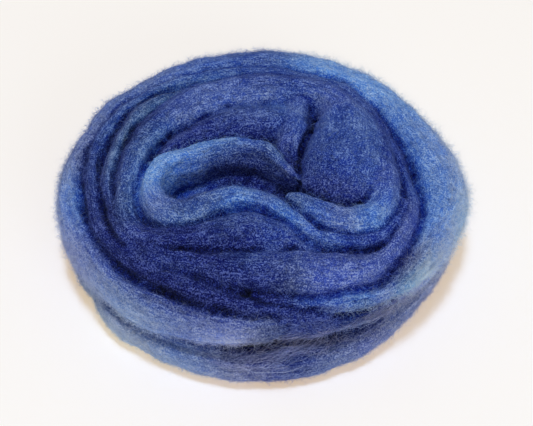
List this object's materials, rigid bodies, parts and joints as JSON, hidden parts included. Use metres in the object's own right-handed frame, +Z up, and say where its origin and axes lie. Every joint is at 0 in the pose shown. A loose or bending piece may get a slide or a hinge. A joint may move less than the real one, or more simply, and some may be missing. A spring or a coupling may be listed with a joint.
{
  "type": "wool roving",
  "caption": "One soft length of dyed combed wool, wound into a low round nest with two folded loops on its crown, flat where it rests.",
  "frame": {"origin": "on the table, under the middle of the nest", "axes": "+X to the right along the nest's widest direction, +Y to the back, +Z up; the outer end thins out at the front (-Y)"},
  "size_m": [0.2004, 0.1948, 0.0668],
  "materials": {
    "wool": "matt combed wool, dyed in soft runs of navy, violet blue and sky blue"
  },
  "bodies": {
    "root": {"roving": "wool"}
  },
  "joints": []
}
